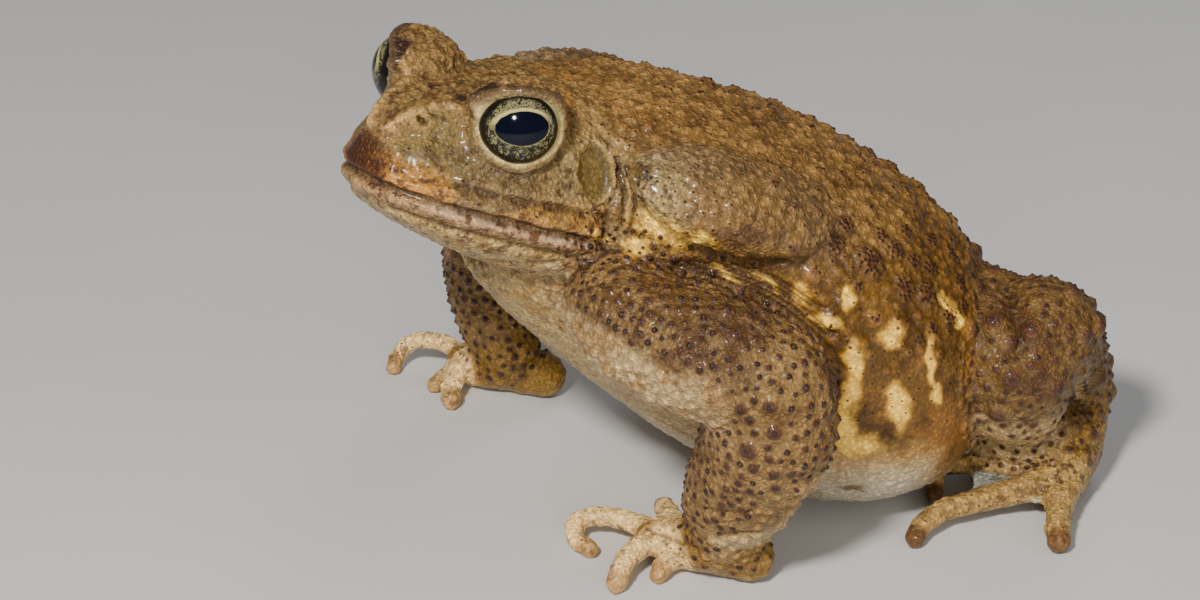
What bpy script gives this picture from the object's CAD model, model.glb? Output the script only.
import math

import bmesh
import bpy
import numpy as np
from mathutils import Matrix, Vector, noise
from mathutils.bvhtree import BVHTree
from mathutils.kdtree import KDTree


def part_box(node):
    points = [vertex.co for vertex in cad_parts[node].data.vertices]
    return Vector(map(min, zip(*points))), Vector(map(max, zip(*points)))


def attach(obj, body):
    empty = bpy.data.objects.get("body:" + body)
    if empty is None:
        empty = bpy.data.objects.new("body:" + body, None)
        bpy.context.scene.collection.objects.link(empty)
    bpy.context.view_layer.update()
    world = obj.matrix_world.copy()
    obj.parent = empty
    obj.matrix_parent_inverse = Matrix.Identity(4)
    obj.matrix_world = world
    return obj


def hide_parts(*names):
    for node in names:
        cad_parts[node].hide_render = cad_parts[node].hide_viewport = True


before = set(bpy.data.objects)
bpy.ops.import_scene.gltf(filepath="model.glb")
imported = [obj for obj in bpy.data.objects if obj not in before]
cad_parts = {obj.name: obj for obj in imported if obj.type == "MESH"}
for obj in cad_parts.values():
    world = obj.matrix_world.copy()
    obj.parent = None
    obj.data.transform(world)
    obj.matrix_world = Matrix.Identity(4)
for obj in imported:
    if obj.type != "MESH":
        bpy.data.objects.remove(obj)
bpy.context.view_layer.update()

# Shapes are made in millimetres, with x to the toad's left, y to its rear and z up, and become metres at the end
MM = 0.001
SEED = 11
VOXEL = 0.42

# Camera of the photograph: its place, turn and tilt, and how long its lens is
CAMERA_PLACE = (494.044, -270.001, 318.174)
CAMERA_TURN = 63.045
CAMERA_TILT = 26.651
CAMERA_LENS = 104.146
PHOTO_SIZE = (1200, 600)

# Head, as in the solids
SNOUT = Vector((2.2, -64.8, 77.8))
HEAD_YAW = 0.218
HEAD_PITCH = -0.152
MOUTH_DROP = 2.7
MOUTH_SLOPE = 0.25
EYE_RADIUS = 7.2
LID_THICK = 1.4
EYE_PLACE = (14.6, 21.0, 8.7)
EYE_LOOK = (0.84, -0.43, 0.20)
EARDRUM_PLACE = (23.4, 32.8, 1.2)
EARDRUM_LOOK = (0.93, -0.25, 0.25)
EARDRUM_SIZE = (3.2, 4.7)
CROWN_LINE = [(0.3, 0, 1.5), (1.5, 0, 4.2), (3.5, 0, 6.6), (6.5, 0, 8.3), (14, 0, 9.2), (25, 0, 9.4), (47, 0, 11)]
CREST_LINE = [(0.3, 1.2, 1.4), (1.5, 2.2, 4.4), (3.5, 3.2, 7.3), (6.5, 4.6, 9.7), (14, 8.6, 11.6),
              (25, 10, 12.2), (33, 11.5, 12.6), (47, 16, 11)]
LORE_LINE = [(0.3, 2.5, 0.4), (1.5, 5, 1.5), (3.5, 7, 2.6), (6.5, 9.2, 3.4), (14, 14, 4.0), (25, 19.8, 3.2), (47, 25, 1.5)]
LIP_LINE = [(0.3, 3.2), (1.5, 6.4), (3.5, 9.6), (6.5, 12.8), (10, 15.4), (14, 17.8), (19, 20.2), (25, 22.4),
            (33, 24.6), (47, 26.5)]
JAW_LINE = [(0.3, 2.4, 3.2), (3.5, 7.6, 5.2), (10, 12.6, 7.4), (19, 17, 9), (33, 21.5, 9.5), (47, 24, 10)]
THROAT_LINE = [(0.3, 0, -5.5), (3.5, 0, -9.2), (10, 0, -13.4), (19, 0, -18.6), (33, 0, -24), (47, 0, -28)]
HEAD_STATIONS = (0.3, 1.5, 3.5, 6.5, 10, 14, 19, 25, 31, 37, 44)

# Trunk, gland and limbs, as in the solids
TRUNK = [(-40, 74, 46, 10, 60, -7.5), (-32, 80, 36, 19, 58, -6.2), (-22, 81.8, 25.5, 27, 57, -4.6),
         (-10, 80.4, 14.5, 33, 51, -2.2), (3, 76, 4.5, 38, 42, -0.4), (15, 70.5, -0.6, 41.5, 32, 0.6),
         (27, 64, -1.4, 42, 27, 0.8), (36, 57.5, -0.6, 38.5, 27, 0.8), (43.5, 51.5, 2.5, 32, 27.5, 0.6),
         (49.5, 45, 7.5, 24, 28, 0.4), (54, 39, 13.5, 14.5, 28, 0.2), (56.3, 32.5, 21, 5.5, 27.5, 0)]
TRUNK_SIDES = 108
BACK_ROUND = 2.3
BELLY_ROUND = 2.6
GLAND_CENTRE = (27.5, -8, 68.5)
GLAND_AXIS = (5, 31, -13.5)
GLAND_SIZE = (19.5, 10, 6.5)
ARM = {
    "left": {
        "upper_arm": [(22, -26, 50, 10), (29, -24, 48, 11), (38, -17, 46, 11.5), (46, -9, 43, 10)],
        "forearm": [(47, -8, 42, 9), (45.5, -8.8, 34, 11), (41, -10.5, 24, 10.4), (37.5, -11.5, 16, 9.2),
                    (36, -11.8, 11.5, 7.6)],
        "palm": [(36, -11, 10, 6), (33.5, -13, 6, 5.6), (29, -17, 4.6, 4.6), (24, -20, 4.0, 3.6)],
        "heel": [(38, -8.5, 4, 4.4), (33, -12, 4, 4.4)],
        "digits": [
            [(24, -16, 4, 2.6), (17, -13.5, 3, 2.0), (12, -12, 1.9, 1.8)],
            [(27, -18, 4.5, 2.8), (20, -20.2, 4, 2.0), (15, -23.2, 4, 1.7), (12.2, -26.6, 3.8, 1.6), (12.3, -30, 2.9, 1.6),
             (15, -31.2, 1.7, 1.5), (18.4, -30.2, 1.2, 1.5)],
            [(29, -18.5, 4.5, 3.0), (26.5, -22, 4.5, 2.2), (27.2, -25.5, 4.3, 1.9), (29, -29, 3.4, 1.9), (31.3, -31.5, 1.6, 1.8)],
            [(31, -17.5, 4, 2.6), (30.5, -21, 2.4, 1.8), (32, -23.6, 1.5, 1.6)],
        ],
    },
    "right": {
        "upper_arm": [(-24, -26, 50, 10), (-32, -24, 47, 11), (-42, -20, 43, 11), (-50, -15.5, 38, 9.5)],
        "forearm": [(-51, -15, 37, 8.6), (-51, -15.5, 29, 10), (-49, -17, 21, 9), (-46, -17, 14, 7.4), (-44.5, -16.5, 10.5, 6.4)],
        "palm": [(-44.5, -16, 10, 6), (-45.5, -17, 6, 5.4), (-49, -20, 4.6, 4.6), (-52, -22, 4.0, 3.6)],
        "heel": [(-40, -10.5, 4, 4.4), (-45, -15, 4, 4.4)],
        "digits": [
            [(-47, -16, 4, 2.6), (-54, -14.5, 3, 2.0), (-59, -14, 1.9, 1.8)],
            [(-50, -20, 4.5, 2.8), (-54.5, -21.5, 4.6, 1.9), (-59, -24, 5.6, 1.6), (-62.8, -27.5, 4.8, 1.6), (-63, -31, 2.6, 1.5),
             (-61, -33, 1.3, 1.4)],
            [(-49, -20, 4.5, 3.0), (-48.6, -24, 4.4, 2.1), (-46.5, -27, 3.3, 1.9), (-43, -29, 1.6, 1.8)],
            [(-50, -22, 3.6, 2.4), (-51.5, -26, 2.2, 1.7), (-50.5, -29, 1.4, 1.5)],
        ],
    },
}
FOLDED = {
    "left": {
        "thigh": [(12, 43, 25, 12), (26, 45, 29.5, 13.2), (35.5, 46, 30, 12.6)],
        "under_thigh": [(14, 44, 22, 10), (28, 46, 23, 10.5), (35, 47, 22.5, 10)],
        "shank": [(36.5, 47.6, 32, 10.2), (36, 52, 33, 10.6), (32.5, 58.6, 27, 8.4), (29.5, 65.2, 17.5, 6.4)],
        "thigh_base": [(16, 47, 12.5, 8), (26, 50, 12, 7.5), (32.5, 53, 11.5, 7), (35, 57, 11.5, 6)],
    },
    "right": {
        "thigh": [(-12, 43, 24, 12), (-25, 45, 25, 12.6), (-34, 46, 24, 12)],
        "under_thigh": [(-14, 44, 21, 10), (-27, 46, 20.5, 10.5), (-34, 47, 20, 10)],
        "shank": [(-35, 48.5, 25, 10), (-34.5, 53.5, 26, 10.2), (-32, 60, 22, 8.4), (-29.5, 65.5, 16.5, 6.4)],
        "thigh_base": [(-16, 47, 12.5, 8), (-26, 50, 12, 7.5), (-32.5, 53, 11.5, 7), (-35, 57, 11.5, 6)],
    },
}
LEG = {
    "tarsus": [(30, 65, 15, 6), (34, 62, 9.5, 5.6), (40, 56, 6.5, 4.8), (42, 53, 5, 4.0)],
    "sole": [(33, 63, 5.4, 5.4), (39, 57, 4.4, 4.4)],
    "toes": [
        [(37, 58, 5, 3.4), (30, 51, 3.6, 2.2), (25, 48.5, 1.8, 1.7)],
        [(38, 57, 5, 3.4), (31, 49, 3.8, 2.2), (25.5, 44, 3.2, 1.8), (22, 42, 1.6, 1.6)],
        [(39, 56, 5, 3.4), (33.5, 49, 4.6, 2.3), (28.5, 44.5, 4.4, 1.8), (25, 40.5, 4.2, 1.7), (26.3, 36.8, 3, 1.6),
         (30.5, 34.5, 1.4, 1.5)],
        [(41, 55, 5, 3.6), (40.5, 47, 4.8, 2.5), (39.5, 39, 4.2, 2.1), (39, 31, 3.8, 1.9), (40, 26, 2.8, 1.8), (42, 23, 1.6, 1.7)],
        [(42, 55, 5, 3.6), (46.5, 51, 4.4, 2.6), (51, 47.5, 3.2, 2.2), (55, 45, 1.9, 2.0)],
    ],
    "webs": [(0, 1, 0.95), (1, 2, 0.75), (2, 3, 0.5), (3, 4, 0.45)],
}
WEB_THICK = 1.2
DIGIT_FLESH = 0.15

# Eye opening as angles from the gaze, across, above and below, its shift forward, and how far the lid edge rounds over
LID_OPEN = (72, 45, 62)
LID_SHIFT = 6
IRIS_SHIFT = 0.09
LID_EDGE = 0.13
BROW_HEIGHT = 5.4
LID_ROUND = 2.1

# Marks on the near side by their place in the photograph: across, down, half width, half height in millimetres, lean
CREAM_MARKS = [(803, 299, 1.3, 2.0, -20), (824, 321, 2.7, 1.1, 14), (848, 297, 1.3, 2.0, 14), (854, 362, 1.7, 4.1, -4),
               (851, 399, 1.7, 3.6, 4), (840, 428, 2.6, 3.6, 20), (894, 337, 1.9, 2.3, 35), (898, 406, 1.8, 4.5, -14),
               (931, 362, 0.9, 5.0, -8), (937, 395, 1.1, 1.7, 0), (945, 303, 0.9, 2.4, -25), (957, 320, 0.8, 2.6, -20),
               (766, 281, 3.0, 0.8, 30), (725, 275, 2.6, 0.8, 25), (662, 228, 5.2, 2.6, 24), (702, 240, 2.6, 1.2, 24),
               (634, 246, 2.6, 1.5, 20), (858, 446, 3.6, 2.2, 0), (596, 236, 1.8, 1.1, 20)]
DARK_MARKS = [(683, 254, 3.0, 1.7, 15), (742, 236, 7.0, 1.8, -4), (713, 243, 2.6, 2.0, 0), (828, 290, 2.2, 3.0, 0),
              (700, 350, 3.8, 2.8, 20), (672, 362, 2.4, 2.0, 0), (690, 336, 3.4, 2.4, 0), (738, 330, 5.5, 2.4, 20),
              (852, 487, 2.6, 0.9, 0), (770, 262, 3.6, 1.6, 15), (1028, 330, 2.0, 5.0, -5), (1046, 352, 2.4, 3.0, 0),
              (1040, 385, 4.4, 2.4, 0), (877, 372, 2.6, 7.0, -10), (915, 372, 1.9, 7.0, -8), (832, 368, 1.9, 6.0, -5),
              (640, 175, 1.6, 1.6, 0), (1010, 310, 3.0, 2.4, 0), (461, 99, 1.5, 0.9, 10)]
AMBER_MARKS = [(945, 435, 6.0, 7.0, 20), (968, 345, 1.6, 9.0, 0), (905, 462, 7.0, 2.0, -20), (872, 470, 4.0, 1.0, 0),
               (567, 98, 1.6, 2.6, 0)]
WART_CLUSTERS = [(832, 244, 2.0), (868, 263, 2.9), (903, 288, 2.2), (925, 294, 2.4), (948, 316, 1.9), (931, 328, 1.2),
                 (919, 338, 1.1), (893, 250, 1.9), (912, 262, 1.6), (928, 268, 1.8), (958, 285, 1.8), (905, 232, 1.6),
                 (880, 236, 1.4), (845, 226, 1.6), (930, 240, 1.6), (951, 258, 1.8), (858, 286, 0.9), (962, 306, 1.3)]
SHOULDER_FOLDS = [[(652, 268), (705, 281), (764, 303), (812, 338), (838, 372)],
                  [(664, 264), (715, 278), (772, 301), (820, 338), (843, 368)],
                  [(678, 262), (728, 276), (782, 300), (827, 336)], [(694, 261), (742, 276), (792, 300), (834, 334)],
                  [(640, 270), (690, 283), (745, 300), (795, 328), (828, 360)],
                  [(712, 262), (758, 278), (802, 302)], [(732, 264), (772, 280), (812, 306)],
                  [(640, 258), (680, 266), (720, 272)], [(752, 268), (790, 286), (822, 308)],
                  [(625, 262), (660, 276), (700, 286), (740, 300)], [(790, 330), (822, 352), (838, 384)]]
NECK_FOLDS = [[(616, 158), (624, 190), (620, 226)], [(626, 166), (634, 196), (630, 232)], [(636, 178), (643, 205), (640, 236)],
              [(608, 214), (606, 232), (600, 246)]]
THROAT_FOLDS = [[(455, 250), (500, 262), (560, 262), (600, 256)], [(470, 285), (520, 300), (575, 300)],
                [(500, 325), (550, 335), (600, 340)], [(560, 350), (610, 372), (660, 392)],
                [(585, 370), (640, 396), (682, 420)], [(600, 392), (650, 415), (690, 436)]]
ELBOW_FOLDS = [[(690, 404), (700, 392), (716, 384)], [(692, 416), (708, 404), (728, 396)], [(640, 352), (672, 378), (690, 402)],
               [(604, 330), (640, 352), (668, 366)]]
WRIST_FOLDS = [[(684, 520), (720, 536), (760, 530)], [(690, 500), (720, 512), (750, 512)], [(654, 532), (690, 546), (740, 552)]]
KNEE_FOLDS = [[(1006, 286), (1013, 302), (1018, 326), (1016, 350)]]
FOREARM_WARTS = [(749, 450, 2.3), (774, 432, 1.9), (750, 419, 1.5), (741, 408, 1.7), (736, 335, 1.8), (727, 312, 1.6),
                 (765, 313, 1.7), (770, 406, 1.8), (754, 468, 1.5), (774, 474, 1.6), (775, 487, 1.4), (729, 358, 1.4)]
KNUCKLES = [(802, 466, 1.2), (799, 488, 1.5), (793, 500, 1.2), (786, 511, 1.3), (778, 523, 1.1)]


def mesh_object(name, points, faces):
    """Make an object from points and faces, facing outwards."""
    mesh = bpy.data.meshes.new(name)
    mesh.from_pydata([tuple(p) for p in points], [], faces)
    work = bmesh.new()
    work.from_mesh(mesh)
    bmesh.ops.recalc_face_normals(work, faces=work.faces)
    work.to_mesh(mesh)
    work.free()
    obj = bpy.data.objects.new(name, mesh)
    bpy.context.scene.collection.objects.link(obj)
    return obj


def settle(obj):
    """Turn an object and its modifiers into a plain mesh in place."""
    graph = bpy.context.evaluated_depsgraph_get()
    mesh = bpy.data.meshes.new_from_object(obj.evaluated_get(graph))
    mesh.transform(obj.matrix_world)
    name = obj.name
    bpy.data.objects.remove(obj, do_unlink=True)
    made = bpy.data.objects.new(name, mesh)
    bpy.context.scene.collection.objects.link(made)
    return made


def smooth_path(points, steps):
    """Run a smooth line through a short list of points, carrying all their values."""
    rows = [np.array(p, float) for p in points]
    rows = [2 * rows[0] - rows[1]] + rows + [2 * rows[-1] - rows[-2]]
    out = []
    for a, b, c, d in zip(rows[:-3], rows[1:-2], rows[2:-1], rows[3:]):
        for step in range(steps):
            t = step / steps
            out.append(0.5 * (2 * b + (c - a) * t + (2 * a - 5 * b + 4 * c - d) * t * t + (3 * b - a - 3 * c + d) * t ** 3))
    out.append(rows[-2])
    return out


def along(line, place):
    """Read the other values of a line at one place along it."""
    keys = [row[0] for row in line]
    return [float(np.interp(place, keys, [row[i] for row in line])) for i in range(1, len(line[0]))]


def loft(name, rings):
    """Join closed rings of points into a capped body."""
    count = len(rings[0])
    points = [p for ring in rings for p in ring]
    faces = []
    for i in range(len(rings) - 1):
        for j in range(count):
            k = (j + 1) % count
            faces.append((i * count + j, i * count + k, (i + 1) * count + k, (i + 1) * count + j))
    for first in (0, (len(rings) - 1) * count):
        ring = list(range(first, first + count))
        points.append(tuple(np.mean([points[i] for i in ring], axis=0)))
        for j in range(count):
            faces.append((ring[j], ring[(j + 1) % count], len(points) - 1))
    return mesh_object(name, points, faces)


def ball(name, centre, radius, segments=28):
    """A closed round body."""
    bpy.ops.mesh.primitive_uv_sphere_add(segments=segments, ring_count=segments // 2, radius=radius, location=centre)
    obj = bpy.context.object
    obj.name = name
    return settle(obj)


def limb(name, points, steps=8, sides=6):
    """A round limb through its points, with a ball at each end."""
    path = smooth_path(points, steps)
    curve = bpy.data.curves.new(name, "CURVE")
    curve.dimensions = "3D"
    curve.bevel_depth = 1
    curve.bevel_resolution = sides
    curve.use_fill_caps = True
    spline = curve.splines.new("POLY")
    spline.points.add(len(path) - 1)
    for point, row in zip(spline.points, path):
        point.co = (*row[:3], 1)
        point.radius = row[3]
    body = bpy.data.objects.new(name, curve)
    bpy.context.scene.collection.objects.link(body)
    return [settle(body)] + [ball(name + "_end", path[i][:3], path[i][3]) for i in (0, -1)]


def facing(direction, up=(0, 0, 1)):
    """A turn whose first column runs along a direction."""
    first = Vector(direction).normalized()
    second = Vector(up).cross(first).normalized()
    return Matrix((first, second, first.cross(second))).transposed().to_4x4()


def flipped(points, side):
    """Mirror a list of limb points to the right side when asked."""
    return [(side * p[0], *p[1:]) for p in points]


def web(name, one, two, reach):
    """A thin skin stretched between two toes, out to a share of their length."""
    a = smooth_path(one, 4)
    b = smooth_path(two, 4)
    steps = 10
    across = 6
    top = []
    for i in range(steps + 1):
        share = i / steps * reach
        p = a[int(share * (len(a) - 1))]
        q = b[int(share * (len(b) - 1))]
        for j in range(across + 1):
            t = j / across
            sag = 1 - 0.25 * share * math.sin(math.pi * t)
            mid = p[:3] * (1 - t) + q[:3] * t
            base = a[0][:3] * (1 - t) + b[0][:3] * t
            top.append(base + (mid - base) * sag)
    lift = np.array((0, 0, WEB_THICK / 2))
    n = len(top)
    row = across + 1
    faces = []
    for i in range(steps):
        for j in range(across):
            k = i * row + j
            faces.append((k, k + 1, k + row + 1, k + row))
            faces.append((n + k, n + k + row, n + k + row + 1, n + k + 1))
        for j in (0, across):
            k = i * row + j
            faces.append((k, k + row, n + k + row, n + k))
    for i in (0, steps):
        for j in range(across):
            k = i * row + j
            faces.append((k, k + 1, n + k + 1, n + k))
    return mesh_object(name, [p + lift for p in top] + [p - lift for p in top], faces)


def head_matrix():
    """Place of the head: columns are left, back and up, at the snout tip."""
    turn = Matrix.Rotation(HEAD_YAW, 4, "Z") @ Matrix.Rotation(HEAD_PITCH, 4, "X")
    return Matrix.Translation(SNOUT) @ turn


def mouth_height(back):
    """Height of the mouth line at a distance back from the snout."""
    return -MOUTH_DROP - MOUTH_SLOPE * back


def head_ring(back):
    """One cage ring round the head, from the crown down the left side to the throat and up the right."""
    crown = along(CROWN_LINE, back)
    crest = along(CREST_LINE, back)
    lore = along(LORE_LINE, back)
    lip = along(LIP_LINE, back)[0]
    jaw = along(JAW_LINE, back)
    throat = along(THROAT_LINE, back)
    mouth = mouth_height(back)
    side = [tuple(crest), tuple(lore), (lip, mouth + 2.2), (lip, mouth - 1.6), (jaw[0], mouth - jaw[1])]
    left = [(0, crown[1])] + side
    right = [(-out, up) for out, up in reversed(side)]
    return [(out, back, up) for out, up in left + [(0, throat[1])] + right]


def head_shapes():
    """The head and both eyelid domes."""
    cage = loft("cage", [head_ring(back) for back in HEAD_STATIONS])
    rounding = cage.modifiers.new("rounding", "SUBSURF")
    rounding.levels = 3
    rounding.render_levels = 3
    shapes = [settle(cage)]
    for side in (1, -1):
        out, back, up = EYE_PLACE
        shapes.append(ball("lid", (side * out, back, up), EYE_RADIUS + LID_THICK, 40))
    for shape in shapes:
        shape.data.transform(head_matrix())
    return shapes


def trunk_shape():
    """The trunk as a smooth body through its named places."""
    rings = []
    for place, back, belly, half, wide, aside in smooth_path(TRUNK, 8):
        ring = []
        for step in range(TRUNK_SIDES):
            angle = 2 * math.pi * step / TRUNK_SIDES
            c = math.cos(angle)
            s = math.sin(angle)
            power = BACK_ROUND if s > 0 else BELLY_ROUND
            out = half * math.copysign(abs(c) ** (2 / power), c)
            rise = (back - wide if s > 0 else wide - belly) * math.copysign(abs(s) ** (2 / power), s)
            ring.append((aside + out, place, wide + rise))
        rings.append(ring)
    return loft("trunk", rings)


def gland_shape(side):
    """The long swollen gland behind the eye."""
    turn = facing((side * GLAND_AXIS[0], GLAND_AXIS[1], GLAND_AXIS[2]), (side * 0.45, 0, 1))
    body = ball("gland", (0, 0, 0), 1, 44)
    place = Matrix.Translation((side * GLAND_CENTRE[0], GLAND_CENTRE[1], GLAND_CENTRE[2]))
    body.data.transform(place @ turn @ Matrix.Diagonal((*GLAND_SIZE, 1)))
    return body


def flesh_shapes():
    """Every body of flesh, before they become one skin."""
    shapes = head_shapes() + [trunk_shape(), gland_shape(1), gland_shape(-1)]
    for name, side in (("left", 1), ("right", -1)):
        arm = ARM[name]
        fold = FOLDED[name]
        for key in ("upper_arm", "forearm", "palm", "heel"):
            shapes += limb(key, arm[key])
        for digit in arm["digits"]:
            shapes += limb("digit", [(*p[:3], p[3] + DIGIT_FLESH) for p in digit])
        for key in ("thigh", "under_thigh", "shank", "thigh_base"):
            shapes += limb(key, fold[key])
        toes = [flipped(toe, side) for toe in LEG["toes"]]
        shapes += limb("tarsus", flipped(LEG["tarsus"], side))
        shapes += limb("sole", flipped(LEG["sole"], side))
        for toe in toes:
            shapes += limb("toe", [(*p[:3], p[3] + DIGIT_FLESH) for p in toe])
        for first, second, reach in LEG["webs"]:
            shapes.append(web("web", toes[first], toes[second], reach))
    return shapes


def one_skin(shapes):
    """Melt the bodies of flesh into one closed skin."""
    work = bmesh.new()
    for shape in shapes:
        work.from_mesh(shape.data)
        bpy.data.objects.remove(shape, do_unlink=True)
    mesh = bpy.data.meshes.new("toad_skin")
    work.to_mesh(mesh)
    work.free()
    obj = bpy.data.objects.new("toad_skin", mesh)
    bpy.context.scene.collection.objects.link(obj)
    melt = obj.modifiers.new("melt", "REMESH")
    melt.mode = "VOXEL"
    melt.voxel_size = VOXEL
    return settle(obj)


def rise(value, low, high):
    """Go smoothly from 0 to 1 between two values."""
    t = np.clip((value - low) / (high - low), 0, 1)
    return t * t * (3 - 2 * t)


class Hide:
    """The skin as arrays of points, while it is shaped and marked."""

    def __init__(self, mesh):
        count = len(mesh.vertices)
        flat = np.empty(count * 3)
        mesh.vertices.foreach_get("co", flat)
        self.points = flat.reshape(-1, 3)
        corners = np.empty(len(mesh.loops), dtype=np.int64)
        mesh.loops.foreach_get("vertex_index", corners)
        self.quads = corners.reshape(-1, 4)
        pairs = np.empty(len(mesh.edges) * 2, dtype=np.int64)
        mesh.edges.foreach_get("vertices", pairs)
        self.pairs = pairs.reshape(-1, 2)
        self.count = count
        self.links = np.bincount(pairs, minlength=count)
        self.masks = {}
        self.refresh()

    def refresh(self):
        """Work out which way the skin faces at each point."""
        p = self.points[self.quads]
        cross = np.cross(p[:, 2] - p[:, 0], p[:, 3] - p[:, 1])
        normals = np.zeros((self.count, 3))
        for axis in range(3):
            for corner in range(4):
                normals[:, axis] += np.bincount(self.quads[:, corner], cross[:, axis], self.count)
        self.normals = normals / np.maximum(np.linalg.norm(normals, axis=1), 1e-12)[:, None]

    def around(self, values):
        """Mean of each point's neighbours."""
        a, b = self.pairs.T
        if values.ndim == 1:
            total = np.bincount(a, values[b], self.count) + np.bincount(b, values[a], self.count)
            return total / self.links
        return np.stack([self.around(values[:, i]) for i in range(values.shape[1])], axis=1)

    def ease(self, rounds, weight=1.0, pull=0.5):
        """Smooth the shape, by a weight at each point."""
        amount = np.broadcast_to(np.asarray(weight, float), (self.count,))[:, None] * pull
        for turn in range(rounds):
            self.points += (self.around(self.points) - self.points) * amount
        self.refresh()

    def move(self, amount):
        """Move every point along its normal."""
        self.points += self.normals * amount[:, None]

    def within(self, low, high):
        """Which points lie in a box."""
        return np.nonzero(np.all((self.points > low) & (self.points < high), axis=1))[0]

    def close(self, rows, reach=2.0):
        """How near each point is to a limb's line, in limb radii."""
        run = np.array(smooth_path(rows, 5))
        edge = run[:, 3].max() * reach
        ids = self.within(run[:, :3].min(0) - edge, run[:, :3].max(0) + edge)
        p = self.points[ids]
        best = np.full(len(ids), 9.0)
        for a, b in zip(run[:-1], run[1:]):
            span = b[:3] - a[:3]
            t = np.clip(((p - a[:3]) @ span) / max(span @ span, 1e-9), 0, 1)
            radius = a[3] * (1 - t) + b[3] * t
            gap = np.linalg.norm(p - (a[:3] + t[:, None] * span), axis=1) / radius
            best = np.minimum(best, gap)
        out = np.full(self.count, 9.0)
        out[ids] = best
        return out

    def band(self, lines, width, sharp=2.0):
        """A soft band along smooth lines; a fourth value thins the band where it is under 1."""
        out = np.zeros(self.count)
        for line in lines:
            rows = [(*p[:3], p[3] if len(p) > 3 else 1.0) for p in line]
            run = np.array(smooth_path(rows, 6))
            ids = self.within(run[:, :3].min(0) - 3 * width, run[:, :3].max(0) + 3 * width)
            if not len(ids):
                continue
            p = self.points[ids]
            best = np.full(len(ids), 1e9)
            power = np.zeros(len(ids))
            for a, b in zip(run[:-1], run[1:]):
                span = b[:3] - a[:3]
                t = np.clip(((p - a[:3]) @ span) / max(span @ span, 1e-9), 0, 1)
                gap = np.linalg.norm(p - (a[:3] + t[:, None] * span), axis=1)
                nearer = gap < best
                best = np.where(nearer, gap, best)
                power = np.where(nearer, a[3] * (1 - t) + b[3] * t, power)
            out[ids] = np.maximum(out[ids], np.exp(-(best / width) ** sharp) * power)
        return out

    def stroke(self, lines, width, height, sharp=2.0):
        """Raise or sink the skin along smooth lines."""
        band = self.band(lines, width, sharp)
        self.move(band * height)
        return band

    def mark(self, name, values):
        """Keep the stronger of a mark's values at each point."""
        self.masks[name] = np.maximum(self.masks.get(name, np.zeros(self.count)), values)


def head_lines(path, sight=None):
    """A line given on the head, on both sides of the toad, laid on the skin when asked."""
    place = head_matrix()
    lines = []
    for side in (1, -1):
        line = []
        for p in smooth_path(path, 3) if sight else path:
            spot = place @ Vector((side * p[0], p[1], p[2]))
            if sight:
                spot = sight.tree.find_nearest(spot)[0]
            line.append((*spot, *p[3:]))
        lines.append(line)
    return lines


def camera_turn():
    """The camera's right, up and forward directions."""
    turn = math.radians(CAMERA_TURN)
    tilt = math.radians(CAMERA_TILT)
    right = Vector((math.cos(turn), math.sin(turn), 0))
    up = Vector((-math.sin(turn) * math.sin(tilt), math.cos(turn) * math.sin(tilt), math.cos(tilt)))
    ahead = Vector((-math.sin(turn) * math.cos(tilt), math.cos(turn) * math.cos(tilt), -math.sin(tilt)))
    return right, up, ahead


class Sight:
    """Finds the place on the toad that a place in the photograph shows."""

    def __init__(self, hide):
        self.tree = BVHTree.FromPolygons(hide.points.tolist(), hide.quads.tolist())

    def seen(self, across, down):
        """The point of the skin at a place in the photograph."""
        right, up, ahead = camera_turn()
        reach = CAMERA_LENS / 36 * PHOTO_SIZE[0]
        ray = ahead + right * ((across - PHOTO_SIZE[0] / 2) / reach) - up * ((down - PHOTO_SIZE[1] / 2) / reach)
        place = self.tree.ray_cast(Vector(CAMERA_PLACE), ray.normalized())[0]
        return place

    def other_side(self, place):
        """The matching point on the toad's far side."""
        return self.tree.find_nearest(Vector((-place[0], place[1], place[2])))[0]

    def line(self, places):
        """A line on the skin through places in the photograph."""
        found = [self.seen(*p) for p in places]
        return [tuple(p) for p in found if p is not None]


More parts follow.
